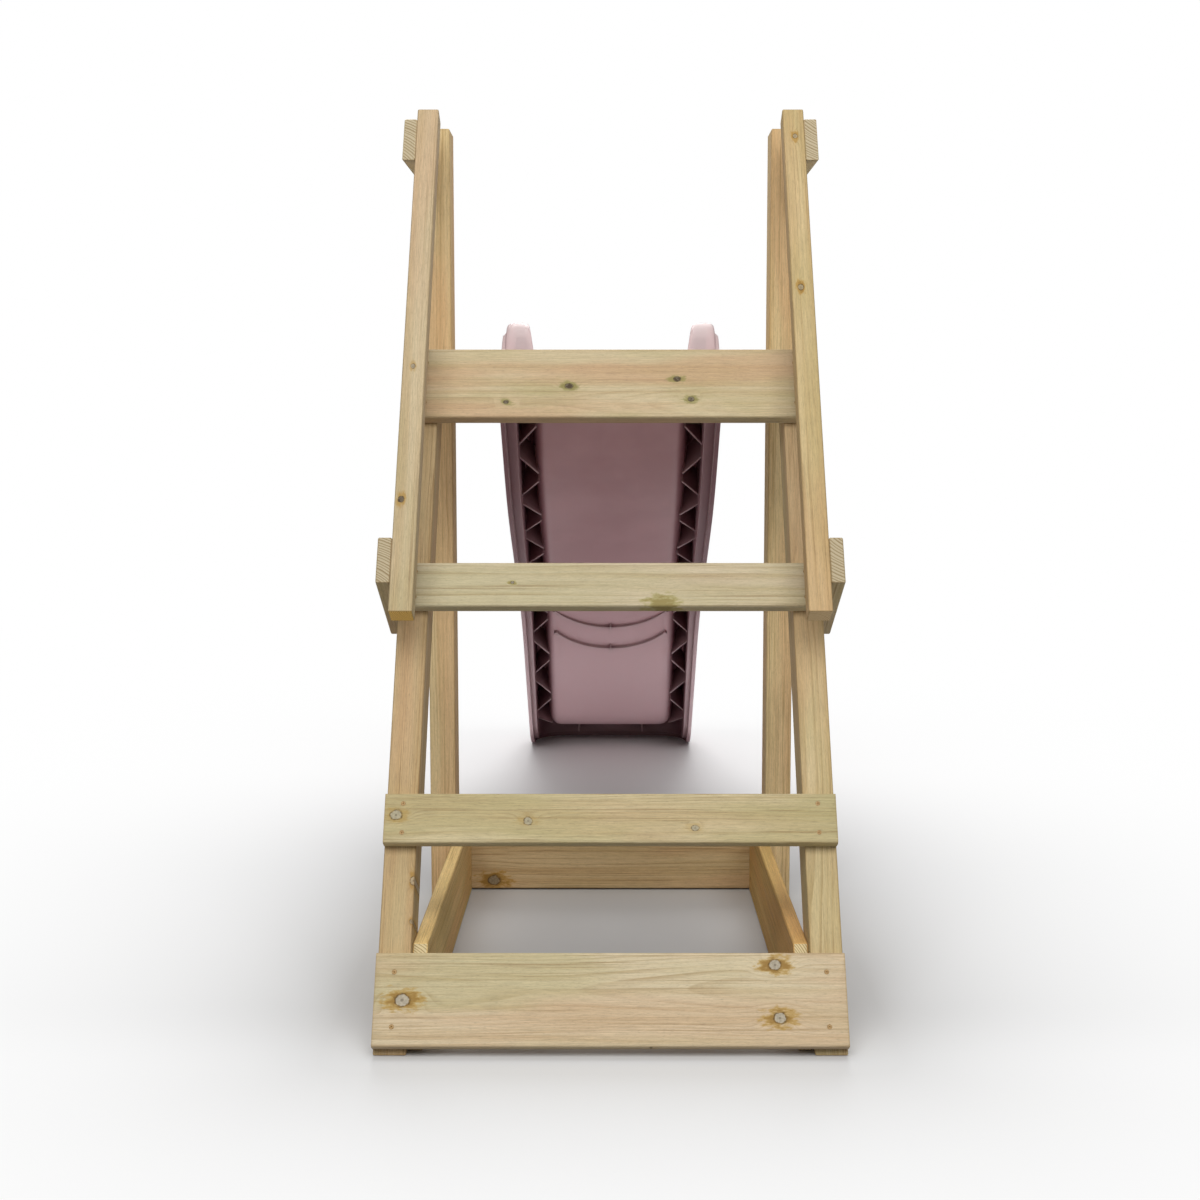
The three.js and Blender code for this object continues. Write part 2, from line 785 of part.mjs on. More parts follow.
// The origin lies in the middle of the whole slide
const extent = new THREE.Box3().setFromObject(slide);
slide.position.y = -(extent.min.y + extent.max.y) / 2;
slide.updateMatrixWorld(true);

export default slide;
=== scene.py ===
import math
import random

import bpy
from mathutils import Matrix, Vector


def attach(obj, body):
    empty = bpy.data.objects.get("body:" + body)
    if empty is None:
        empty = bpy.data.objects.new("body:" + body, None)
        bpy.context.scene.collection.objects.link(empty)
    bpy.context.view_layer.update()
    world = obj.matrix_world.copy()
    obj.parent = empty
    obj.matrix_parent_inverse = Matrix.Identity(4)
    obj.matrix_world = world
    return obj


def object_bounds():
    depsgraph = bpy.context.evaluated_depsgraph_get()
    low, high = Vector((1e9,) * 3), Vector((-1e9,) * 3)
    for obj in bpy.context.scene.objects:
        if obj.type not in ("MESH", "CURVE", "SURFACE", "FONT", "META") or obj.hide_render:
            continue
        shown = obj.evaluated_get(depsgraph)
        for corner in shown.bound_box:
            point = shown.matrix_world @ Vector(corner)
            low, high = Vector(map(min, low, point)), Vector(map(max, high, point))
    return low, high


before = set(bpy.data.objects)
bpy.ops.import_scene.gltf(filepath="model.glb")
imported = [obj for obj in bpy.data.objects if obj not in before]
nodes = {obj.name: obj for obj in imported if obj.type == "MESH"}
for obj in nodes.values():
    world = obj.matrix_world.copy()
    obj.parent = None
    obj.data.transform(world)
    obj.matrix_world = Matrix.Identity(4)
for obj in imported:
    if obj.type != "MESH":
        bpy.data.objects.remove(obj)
cad_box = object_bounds()

WELD = 0.00001  # metres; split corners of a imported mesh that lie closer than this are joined


def srgb(r, g, b):
    """A 0-255 screen colour as the linear colour that the shaders take."""
    out = []
    for c in (r, g, b):
        c /= 255
        out.append(c / 12.92 if c <= 0.04045 else ((c + 0.055) / 1.055) ** 2.4)
    return (*out, 1.0)


def grey(level):
    return srgb(level, level, level)


def toned(colour, tone):
    """A 0-255 screen colour with each channel multiplied by tone, as a linear colour."""
    return srgb(*(min(255, c * k) for c, k in zip(colour, tone)))


def dress(obj, material):
    obj.data.materials.clear()
    obj.data.materials.append(material)


class Tree:
    """Short ways to add and join the nodes of one material."""

    def __init__(self, name):
        self.material = bpy.data.materials.new(name)
        self.material.use_nodes = True
        self.nodes = self.material.node_tree.nodes
        self.links = self.material.node_tree.links
        self.nodes.clear()
        self.coord = self.add("ShaderNodeTexCoord")

    def add(self, kind, **settings):
        node = self.nodes.new(kind)
        for key, value in settings.items():
            setattr(node, key, value)
        return node

    def put(self, socket, value):
        if isinstance(value, bpy.types.NodeSocket):
            self.links.new(value, socket)
        else:
            socket.default_value = value

    def math(self, op, a, b=0.0, c=0.0):
        node = self.add("ShaderNodeMath", operation=op)
        for socket, value in zip(node.inputs, (a, b, c)):
            self.put(socket, value)
        return node.outputs[0]

    def largest(self, values):
        found = values[0]
        for value in values[1:]:
            found = self.math("MAXIMUM", found, value)
        return found

    def vector(self, op, a, b=(0, 0, 0)):
        node = self.add("ShaderNodeVectorMath", operation=op)
        self.put(node.inputs[0], a)
        self.put(node.inputs[1], b)
        return node.outputs["Value" if op in ("DOT_PRODUCT", "LENGTH") else "Vector"]

    def combine(self, x, y, z):
        node = self.add("ShaderNodeCombineXYZ")
        for socket, value in zip(node.inputs, (x, y, z)):
            self.put(socket, value)
        return node.outputs[0]

    def split(self, vector):
        node = self.add("ShaderNodeSeparateXYZ")
        self.put(node.inputs[0], vector)
        return node.outputs

    def noise(self, vector, scale=1.0, detail=2.0, rough=0.5):
        node = self.add("ShaderNodeTexNoise")
        self.put(node.inputs["Vector"], vector)
        node.inputs["Scale"].default_value = scale
        node.inputs["Detail"].default_value = detail
        node.inputs["Roughness"].default_value = rough
        return node.outputs[0]

    def span(self, value, low, high, out_low=0.0, out_high=1.0):
        """value eased from low..high onto out_low..out_high, and held there outside."""
        node = self.add("ShaderNodeMapRange", clamp=True, interpolation_type="SMOOTHSTEP")
        for socket, v in zip(node.inputs, (value, low, high, out_low, out_high)):
            self.put(socket, v)
        return node.outputs[0]

    def ramp(self, value, stops):
        """value looked up in stops of (place, grey share)."""
        node = self.add("ShaderNodeValToRGB")
        self.put(node.inputs[0], value)
        points = node.color_ramp.elements
        while len(points) < len(stops):
            points.new(0.5)
        for point, (place, share) in zip(points, stops):
            point.position = place
            point.color = (share, share, share, 1)
        return node.outputs[0]

    def mix(self, share, a, b, blend="MIX"):
        """Two colours mixed; 6, 7 and 2 are the node's colour sockets."""
        node = self.add("ShaderNodeMix", data_type="RGBA", blend_type=blend)
        self.put(node.inputs[0], share)
        self.put(node.inputs[6], a)
        self.put(node.inputs[7], b)
        return node.outputs[2]

    def surface(self, colour, roughness, height, strength, distance, specular=0.5, normal=None):
        shader = self.add("ShaderNodeBsdfPrincipled")
        self.put(shader.inputs["Base Color"], colour)
        self.put(shader.inputs["Roughness"], roughness)
        shader.inputs["Specular IOR Level"].default_value = specular
        bump = self.add("ShaderNodeBump")
        bump.inputs["Strength"].default_value = strength
        bump.inputs["Distance"].default_value = distance
        self.put(bump.inputs["Height"], height)
        if normal is not None:
            self.put(bump.inputs["Normal"], normal)
        self.put(shader.inputs["Normal"], bump.outputs[0])
        out = self.add("ShaderNodeOutputMaterial")
        self.put(out.inputs[0], shader.outputs[0])
        return shader


# Directions of the boards, each set their length, width and thickness

LEAN = math.radians(60)
SIDE = Vector((1, 0, 0))
BACK = Vector((0, 1, 0))
UP = Vector((0, 0, 1))
UP_LADDER = Vector((0, math.cos(LEAN), math.sin(LEAN)))
OFF_LADDER = Vector((0, -math.sin(LEAN), math.cos(LEAN)))

LADDER = (UP_LADDER, OFF_LADDER, SIDE)
STEP = (SIDE, UP_LADDER, OFF_LADDER)
UPRIGHT = (UP, BACK, SIDE)
OUTWARD = (OFF_LADDER, UP_LADDER, SIDE)
FORE_AFT = (BACK, UP, SIDE)
CROSS = (SIDE, UP, BACK)
DECK = (SIDE, BACK, UP)


# Timber: rings about a pith line that runs beside the board, bent round the knots

# Sawn pine: its pale wood, the dark line of a year's ring, and the tints that lie over them
PALE = (210, 193, 158)
RING = (160, 132, 88)
STREAK = (184, 156, 112)
HAIR = (150, 122, 80)
GREEN = (178, 167, 118)
PINK = (202, 163, 128)
GRIME = (158, 131, 90)
END_PALE = (204, 188, 150)
END_RING = (132, 106, 60)
KNOT_GREY = (198, 188, 166)
KNOT_DARK = (66, 50, 30)
KNOT_BROWN = (176, 140, 66)
KNOT_GREEN = (150, 144, 86)
KNOT_OLIVE = (160, 146, 84)
DEEP_STAIN = (0.80, 0.74, 0.60)  # tone of a stain close to its knot

# Tones that several boards share
PLAIN = (1, 1, 1)
WARM = (1.10, 1.07, 1.0)
LADDER_END = (1.0, 0.89, 0.84)
BRACKET_END = (0.94, 0.95, 0.99)
GROUND_END = (1.12, 1.13, 1.12)

# Share of dark late wood through one year's ring
LATE_WOOD = [(0.0, 0.04), (0.50, 0.08), (0.86, 0.86), (0.95, 1.0), (1.0, 0.04)]

# Metres that the rings wander, from one extreme to the other
SWAY_ACROSS = 0.020
SWAY_DEEP = 0.018
RIPPLE = 0.0024

WORN = 0.005  # metres; widest wear along an arris
ARRIS = 0.0013  # metres; bevel of an arris


def board_frame(node, axes):
    """Middle and half sizes of a board along its own axes."""
    points = [v.co for v in nodes[node].data.vertices]
    middle, half = Vector((0, 0, 0)), []
    for axis in axes:
        reach = [p.dot(axis) for p in points]
        middle += axis * (max(reach) + min(reach)) / 2
        half.append((max(reach) - min(reach)) / 2)
    return middle, half


class Pine(Tree):
    """The material of one board, in its own directions: u along, v across and w through it."""

    def __init__(self, node, axes, seed):
        super().__init__(f"pine_{node}")
        self.axes = axes
        self.middle, self.half = board_frame(node, axes)
        place = self.vector("SUBTRACT", self.coord.outputs["Object"], tuple(self.middle))
        self.u, self.v, self.w = (self.vector("DOT_PRODUCT", place, tuple(a)) for a in axes)
        dice = random.Random(seed)
        self.shift = [dice.uniform(-20, 20) for _ in range(3)]
        self.taper = dice.uniform(-0.008, 0.008)

    def stretched(self, along, across, extra=0.0):
        """A place for a noise, scaled along and across the grain."""
        return self.combine(
            self.math("MULTIPLY_ADD", self.u, along, self.shift[0] + extra),
            self.math("MULTIPLY_ADD", self.v, across, self.shift[1]),
            self.math("MULTIPLY_ADD", self.w, across, self.shift[2]),
        )

    def swing(self, noise, width, offset=0.0):
        """A noise of 0-1 as a shift by up to half of width either way, less offset."""
        return self.math("MULTIPLY_ADD", noise, width, -width / 2 - offset)

    def pith_distance(self, pith):
        """Distance from a pith line that wanders, and that the board's taper crosses."""
        sway = self.noise(self.stretched(1.5, 3.0), detail=1.0)
        sway_deep = self.noise(self.stretched(1.9, 3.0, 7.3), detail=1.0)
        ripple = self.noise(self.stretched(9, 55), detail=2.0)
        across = self.math("ADD", self.v, self.swing(sway, SWAY_ACROSS, pith[0]))
        across = self.math("ADD", across, self.swing(ripple, RIPPLE))
        deep = self.math("ADD", self.w, self.swing(sway_deep, SWAY_DEEP, pith[1]))
        squares = self.math("ADD", self.math("POWER", across, 2.0), self.math("POWER", deep, 2.0))
        return self.math("MULTIPLY_ADD", self.u, self.taper, self.math("SQRT", squares))

    def from_knot(self, point, face):
        """Distances along and across the board from a knot, and the knot's own two places."""
        cross, cross_axis = (self.w, self.axes[2]) if face == 1 else (self.v, self.axes[1])
        offset = Vector(point) - self.middle
        along_place, cross_place = offset.dot(self.axes[0]), offset.dot(cross_axis)
        along = self.math("SUBTRACT", self.u, along_place)
        across = self.math("SUBTRACT", cross, cross_place)
        return along, across, along_place, cross_place

    def knot_halo(self, along, across, cross_place, size, spread):
        """The flame-shaped stain round a knot, and the smooth distance that it is made from."""
        flat = self.combine(self.math("MULTIPLY", along, 0.28), self.math("MULTIPLY", across, 0.52), 0.0)
        wide = self.math("MULTIPLY", self.vector("LENGTH", flat), 1 / size)
        smear = self.noise(self.stretched(60, 150, cross_place * 70), detail=3.0, rough=0.65)
        flame = self.math("MULTIPLY_ADD", self.math("SUBTRACT", 0.5, smear), 2.2, wide)
        return self.math("MULTIPLY", self.span(flame, 1.25, 0.35), spread), wide

    def knot_wood(self, along, across, along_place, cross_place, size, dark):
        """A knot's round of wood, and the dark rim and heart in it."""
        rag = self.noise(self.stretched(90, 110, along_place * 50), detail=2.0)
        ragged = self.math("MULTIPLY_ADD", rag, 0.7, 0.65)
        oval = self.combine(self.math("MULTIPLY", along, 0.85), across, 0.0)
        near = self.math("MULTIPLY", self.vector("LENGTH", oval), self.math("MULTIPLY", ragged, 1 / size))
        split = self.noise(self.stretched(300, 300, cross_place * 90), detail=2.0)
        crack = self.span(split, 0.42, 0.58)
        core = self.span(near, 1.0, 0.85)
        rim = self.math("MULTIPLY", self.span(near, 1.3, 1.02), self.span(near, 0.66, 0.98))
        rim = self.math("MULTIPLY", rim, self.math("MULTIPLY_ADD", crack, 0.40, 0.25 + 0.3 * dark))
        heart = self.math("MULTIPLY", self.span(near, 0.34, 0.16), 0.6)
        inside = self.math("MULTIPLY", core, self.math("MULTIPLY_ADD", crack, 0.16, 0.8 * dark))
        return core, self.largest([rim, heart, inside])

    def rings(self, radius, ring):
        """Late wood of each year's ring, at full strength and with weaker years."""
        uneven = self.noise(self.combine(self.math("MULTIPLY", radius, 110), self.shift[1], 0.0), detail=1.0)
        turn = self.math("MULTIPLY_ADD", uneven, 1.6, self.math("DIVIDE", radius, ring))
        full = self.ramp(self.math("FRACT", turn), LATE_WOOD)
        count = self.math("MULTIPLY", self.math("FLOOR", turn), 0.77)
        year = self.noise(self.combine(count, self.shift[0], 0.0), scale=3.0)
        return full, self.math("MULTIPLY", full, self.span(year, 0.25, 0.7, 0.12, 1.0))

    def face_colour(self, grain, fibre, tone, green, pink, line):
        """Rings, tints and fibres of a board's long faces."""
        pores = self.noise(self.stretched(150, 1500, 2.2), detail=2.0)
        hair = self.noise(self.stretched(3.2, 360, 1.1), detail=3.0, rough=0.6)
        streak = self.noise(self.stretched(0.9, 70), detail=4.0, rough=0.62)
        patch = self.noise(self.stretched(2.6, 11, 3.1), detail=3.0)
        blush = self.noise(self.stretched(1.6, 13, 9.7), detail=3.0)
        colour = self.mix(grain, toned(PALE, tone), toned(RING, tone))
        colour = self.mix(self.span(streak, 0.40, 0.70, 0.0, 0.5), colour, toned(STREAK, tone))
        colour = self.mix(self.span(patch, 0.44, 0.62, 0.0, green), colour, toned(GREEN, tone))
        colour = self.mix(self.span(blush, 0.44, 0.62, 0.0, pink), colour, toned(PINK, tone))
        colour = self.mix(self.span(hair, 0.56, 0.68, 0.0, 0.6 * line), colour, toned(HAIR, tone))
        fine = self.math(
            "MULTIPLY",
            self.span(fibre, 0.28, 0.72, 0.82, 1.12),
            self.span(pores, 0.54, 0.72, 1.0, 0.80),
        )
        return self.mix(1.0, colour, self.combine(fine, fine, fine), "MULTIPLY")

    def end_colour(self, late, end_tone):
        """Rings and open pores of the sawn ends."""
        pits = self.noise(self.stretched(300, 1300), detail=3.0, rough=0.7)
        colour = self.mix(late, toned(END_PALE, end_tone), toned(END_RING, end_tone))
        return self.mix(self.span(pits, 0.40, 0.75, 0.0, 0.45), colour, toned(STREAK, end_tone))

    def end_share(self):
        """1 on the sawn ends and 0 on the long faces."""
        facing = self.vector("DOT_PRODUCT", self.coord.outputs["Normal"], tuple(self.axes[0]))
        return self.span(self.math("ABSOLUTE", facing), 0.70, 0.86)

    def arris_share(self):
        """Wear along the arrises: the second nearest face decides how close one is."""
        places = (self.u, self.v, self.w)
        gap = [self.math("SUBTRACT", h, self.math("ABSOLUTE", c)) for h, c in zip(self.half, places)]
        low = self.math("MINIMUM", gap[0], gap[1])
        high = self.math("MAXIMUM", gap[0], gap[1])
        second = self.math("MAXIMUM", low, self.math("MINIMUM", high, gap[2]))
        worn = self.math("MULTIPLY", self.noise(self.stretched(30, 220), detail=3.0), WORN)
        return self.span(second, 0.0, worn, 0.5, 0.0)


def timber(node, axes, seed, pith, ring=0.0028, tone=PLAIN, green=0.4, pink=0.4, line=1.0,
           knots=(), stain=KNOT_BROWN, face=2, end_tone=PLAIN):
    """Pine for one board. axes are its length, width and thickness; pith is (across, deep) in
    metres from its middle; ring is one year's width. A knot is (point on the board, radius,
    darkness 0-1, strength of its halo), or a patch of stain alone where its darkness is None.
    Knots show on the faces square to axes[face]."""
    t = Pine(node, axes, seed)
    radius = t.pith_distance(pith)
    halos, cores, darks = [], [], []
    for point, size, dark, spread in knots:
        along, across, along_place, cross_place = t.from_knot(point, face)
        halo, wide = t.knot_halo(along, across, cross_place, size, spread)
        halos.append(halo)
        if dark is None:
            continue
        bulge = t.math("EXPONENT", t.math("MULTIPLY", t.math("POWER", wide, 2.0), -1.0))
        radius = t.math("MULTIPLY_ADD", bulge, size * 1.5, radius)
        core, dark_part = t.knot_wood(along, across, along_place, cross_place, size, dark)
        cores.append(core)
        darks.append(dark_part)

    full, late = t.rings(radius, ring)
    comes = t.noise(t.stretched(4.5, 60, 5.1), detail=2.0)
    grain = t.math("MULTIPLY", late, t.span(comes, 0.33, 0.66, 0.25 * line, line))
    fibre = t.noise(t.stretched(38, 1100), detail=4.0, rough=0.7)
    colour = t.face_colour(grain, fibre, tone, green, pink, line)
    if halos:
        halo = t.largest(halos)
        colour = t.mix(t.span(halo, 0.0, 0.55, 0.0, 0.75), colour, toned(stain, tone))
        colour = t.mix(t.span(halo, 0.45, 1.0, 0.0, 0.75), colour, toned(stain, DEEP_STAIN))
    if cores:
        colour = t.mix(t.math("MULTIPLY", t.largest(cores), 0.85), colour, toned(KNOT_GREY, tone))
        colour = t.mix(t.largest(darks), colour, srgb(*KNOT_DARK))
    colour = t.mix(t.end_share(), colour, t.end_colour(full, end_tone))
    colour = t.mix(t.arris_share(), colour, toned(GRIME, tone))

    rough = t.math("ADD", t.span(late, 0.0, 1.0, 0.74, 0.58), t.span(fibre, 0.3, 0.7, -0.06, 0.08))
    height = t.math("MULTIPLY_ADD", grain, 0.4, t.math("MULTIPLY", fibre, 0.7))
    t.surface(colour, rough, height, 0.34, 0.0005, specular=0.3)
    dress(nodes[node], t.material)


timber(
    "ladder_side_left", LADDER, 11, (0.05, 0.03), 0.0026,
    tone=(0.96, 0.92, 0.86), green=0.25, face=1, end_tone=LADDER_END,
    knots=[
        ((-0.2775, -1.0741, 0.2081), 0.0048, 0.1, 0.5),
        ((-0.2775, -1.1030, 0.1580), 0.0026, 0.4, 0.5),
    ],
)
timber(
    "ladder_side_right", LADDER, 12, (-0.06, -0.03), 0.0030,
    tone=(1.0, 0.98, 0.93), green=0.3, end_tone=LADDER_END,
)
timber("rear_post_left", UPRIGHT, 13, (0.06, 0.05), 0.003, tone=WARM, green=0.15)
timber("rear_post_right", UPRIGHT, 14, (-0.06, -0.05), 0.003, tone=WARM, green=0.15)
timber(
    "bottom_step", STEP, 15, (0.012, -0.07), 0.0026,
    tone=(1.02, 1.03, 1.05), green=0.45, pink=0.35, line=0.85,
    knots=[
        ((-0.2824, -1.1777, 0.0712), 0.0085, 0.15, 0.9),
        ((0.2247, -1.154, 0.1122), 0.0072, 0.25, 1.0),
        ((0.2286, -1.1897, 0.0504), 0.0075, 0.2, 0.9),
        ((0.0539, -1.2060, 0.0096), 0.0040, 0.9, 0.2),
    ],
)
timber(
    "second_step", STEP, 16, (-0.030, -0.045), 0.0026,
    tone=(0.97, 0.98, 0.95), green=0.5, pink=0.2,
    knots=[
        ((-0.3043, -1.0478, 0.2962), 0.0068, 0.2, 0.4),
        ((-0.1168, -1.0522, 0.2886), 0.0055, 0.25, 0.3),
        ((0.1195, -1.0573, 0.2797), 0.0042, 0.25, 0.25),
    ],
)
timber(
    "third_step", STEP, 17, (0.004, -0.05), 0.0028,
    tone=(0.99, 1.01, 1.05), green=0.45, pink=0.1, line=0.85, stain=KNOT_OLIVE,
    knots=[
        ((0.0780, -0.883, 0.5816), 0.0085, None, 0.8),
        ((-0.1480, -0.866, 0.6110), 0.0022, 0.6, 0.8),
    ],
)
timber(
    "deck_front_board", STEP, 18, (-0.04, -0.08), 0.0024,
    tone=(0.96, 0.96, 0.95), green=0.6, pink=0.6, line=0.6, stain=KNOT_GREEN,
    knots=[
        ((-0.0661, -0.6936, 0.9097), 0.0050, 1.0, 0.8),
        ((-0.1657, -0.7083, 0.8841), 0.0034, 0.9, 0.7),
        ((0.1062, -0.6871, 0.921), 0.0046, 1.0, 0.7),
        ((0.1278, -0.7056, 0.8889), 0.0042, 0.9, 0.8),
        ((-0.0950, -0.7020, 0.8950), 0.0190, None, 0.17),
        ((0.1250, -0.7000, 0.8990), 0.0140, None, 0.17),
    ],
)
timber(
    "handrail_left", LADDER, 19, (0.02, 0.03), 0.0026,
    tone=(0.96, 0.95, 0.94), line=0.7, face=1, end_tone=(1.25, 1.13, 0.80),
    knots=[
        ((-0.3046, -0.7762, 0.938), 0.0035, 0.4, 0.4),
        ((-0.3111, -0.8918, 0.7378), 0.0042, 1.0, 0.6),
    ],
)
timber(
    "handrail_right", LADDER, 20, (-0.03, -0.02), 0.0028,
    tone=(0.97, 0.94, 0.86), line=0.8, face=1, end_tone=(1.15, 1.12, 1.12),
    knots=[
        ((0.3047, -0.5538, 1.3232), 0.0038, 0.4, 0.7),
        ((0.3006, -0.7032, 1.0644), 0.0042, 0.4, 0.9),
    ],
)
timber("lower_rail_bracket_left", OUTWARD, 21, (-0.09, -0.05), 0.0040, end_tone=BRACKET_END)
timber("lower_rail_bracket_right", OUTWARD, 22, (0.09, 0.06), 0.0046, end_tone=BRACKET_END)
timber("upper_rail_bracket_left", FORE_AFT, 23, (-0.09, -0.06), 0.0046, end_tone=BRACKET_END)
timber("upper_rail_bracket_right", FORE_AFT, 24, (0.09, 0.05), 0.0042, end_tone=BRACKET_END)
timber(
    "ground_side_board_left", FORE_AFT, 25, (-0.03, -0.05), 0.003,
    tone=(1.15, 1.09, 0.92), green=0.3, end_tone=GROUND_END,
)
timber(
    "ground_side_board_right", FORE_AFT, 26, (0.02, -0.05), 0.003,
    tone=(1.06, 0.96, 0.74), green=0.3, end_tone=GROUND_END,
)
timber(
    "rear_ground_board", CROSS, 27, (0.0, -0.05), 0.003,
    tone=(0.98, 0.93, 0.86), green=0.2,
    knots=[((-0.2139, -0.3762, 0.0184), 0.009, 0.6, 1.2)],
)
timber("rear_cross_rail", CROSS, 28, (0.02, -0.04), 0.003)
timber("deck_bearer_left", FORE_AFT, 29, (0.02, -0.04), 0.003, tone=WARM)
timber("deck_bearer_right", FORE_AFT, 30, (0.02, -0.04), 0.003, tone=WARM)
timber("front_deck_board", DECK, 31, (0.0, -0.06), 0.003)
timber("rear_deck_board", DECK, 32, (0.02, -0.06), 0.003)


def soft_edges(obj, width):
    """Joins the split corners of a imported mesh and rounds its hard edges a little."""
    weld = obj.modifiers.new("weld", "WELD")
    weld.merge_threshold = WELD
    bevel = obj.modifiers.new("arris", "BEVEL")
    bevel.width = width
    bevel.segments = 2
    bevel.limit_method = "ANGLE"
    bevel.angle_limit = math.radians(35)


# Screws: yellowish metal, mottled

def screw_metal():
    t = Tree("screw_metal")
    mottle = t.noise(t.coord.outputs["Object"], 900.0, 3.0, 0.6)
    colour = t.mix(t.span(mottle, 0.35, 0.7), srgb(176, 144, 92), srgb(142, 108, 62))
    rough = t.span(mottle, 0.3, 0.7, 0.38, 0.7)
    shader = t.surface(colour, rough, mottle, 0.2, 0.0002)
    shader.inputs["Metallic"].default_value = 0.15
    return t.material


metal = screw_metal()
for name, obj in nodes.items():
    if "_screw_" in name:
        dress(obj, metal)
    elif name != "slide_chute":
        soft_edges(obj, ARRIS)


# Screws that the CAD leaves out: their heads, a hair proud of the boards that they hold

# Radius of each ring of a head and its lift off the board, from the board in to the recess
HEAD_RINGS = [(0.0035, -0.0005), (0.0035, 0.0002), (0.0031, 0.0006), (0.0013, 0.0006), (0.0010, 0.0001)]
HEAD_SIDES = 14


def screw_heads(name, places, out):
    """One group of screw heads, on a face that looks along out."""
    turn = Vector(out).to_track_quat("Z", "Y").to_matrix()
    verts, faces = [], []
    for place in places:
        first = len(verts)
        for radius, lift in HEAD_RINGS:
            for i in range(HEAD_SIDES):
                angle = 2 * math.pi * i / HEAD_SIDES
                corner = Vector((radius * math.cos(angle), radius * math.sin(angle), lift))
                verts.append(Vector(place) + turn @ corner)
        for ring in range(len(HEAD_RINGS) - 1):
            low = first + ring * HEAD_SIDES
            high = low + HEAD_SIDES
            for i in range(HEAD_SIDES):
                j = (i + 1) % HEAD_SIDES
                faces.append((low + i, low + j, high + j, high + i))
        faces.append(tuple(range(len(verts) - HEAD_SIDES, len(verts))))
        faces.append(tuple(range(first + HEAD_SIDES - 1, first - 1, -1)))
    mesh = bpy.data.meshes.new(name)
    mesh.from_pydata([tuple(v) for v in verts], [], faces)
    mesh.materials.append(metal)
    obj = bpy.data.objects.new(name, mesh)
    bpy.context.scene.collection.objects.link(obj)
    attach(obj, "root")


def four(axes, middle, half_long, half_wide):
    """Two places at each end of a board, on the face that middle lies in."""
    return [Vector(middle) + axes[0] * a + axes[1] * b
            for a in (-half_long, half_long) for b in (-half_wide, half_wide)]


POST_X = 0.2985  # middle of the posts and ladder sides
BEARER_X = 0.2652  # middle of the deck bearers and ground side boards
INNER_X = 0.2547  # inner faces of the same
REAR_Y = -0.3552  # back of the boards behind the posts
DECK_Z = 0.965  # top of the deck
WIDE = 0.037  # half the spread of two screws across a wide board
LIP_Y = -0.405
LIP_XS = (-0.12, 0.0, 0.12)
ABOVE_CHUTE = 1.2

screw_heads("rear_ground_board_screws", four(CROSS, (0, REAR_Y, 0.0655), POST_X, WIDE), BACK)
screw_heads("rear_cross_rail_screws", four(CROSS, (0, REAR_Y, 0.9285), POST_X, 0.021), BACK)
screw_heads("front_deck_board_screws", four(DECK, (0, -0.5727, DECK_Z), BEARER_X, WIDE), UP)
screw_heads("rear_deck_board_screws", four(DECK, (0, -0.4406, DECK_Z), BEARER_X, WIDE), UP)
for side, x in (("left", -INNER_X), ("right", INNER_X)):
    inwards = (1 if x < 0 else -1, 0, 0)
    ground_places = four(FORE_AFT, (x, -0.775, 0.0635), 0.362, 0.032)
    screw_heads(f"ground_side_board_{side}_screws", ground_places, inwards)
    bearer_places = four(FORE_AFT, (x, -0.525, 0.906), 0.117, 0.018)
    screw_heads(f"deck_bearer_{side}_screws", bearer_places, inwards)

chute = nodes["slide_chute"]
drops = [chute.ray_cast((x, LIP_Y, ABOVE_CHUTE), (0, 0, -1)) for x in LIP_XS]
screw_heads("chute_lip_screws", [drop[1] for drop in drops if drop[0]], UP)


# Moulded plastic of the chute: satin pink with fine scuffs, and light and shade painted into its colour:
# paler on faces that look up, lighter low on the underside, darker on side faces, on the skirts and in the
# hollows, and lighter along the rounded edges

EDGE_RADIUS = 0.0022  # metres; rounding that the Bevel node gives the chute's edges
HOLLOW_REACH = 0.07  # metres; how far the painted shade in the hollows looks for a wall

# Metres from the middle and metres up, from none of a painted tint to all of it: painted shade on the
# skirts, painted light low on the underside
SKIRT_IN, SKIRT_OUT = 0.160, 0.195
SKIRT_TOP, SKIRT_FULL = 0.94, 0.86
PAINTED_LIGHT_TOP, PAINTED_LIGHT_FULL = 0.62, 0.2


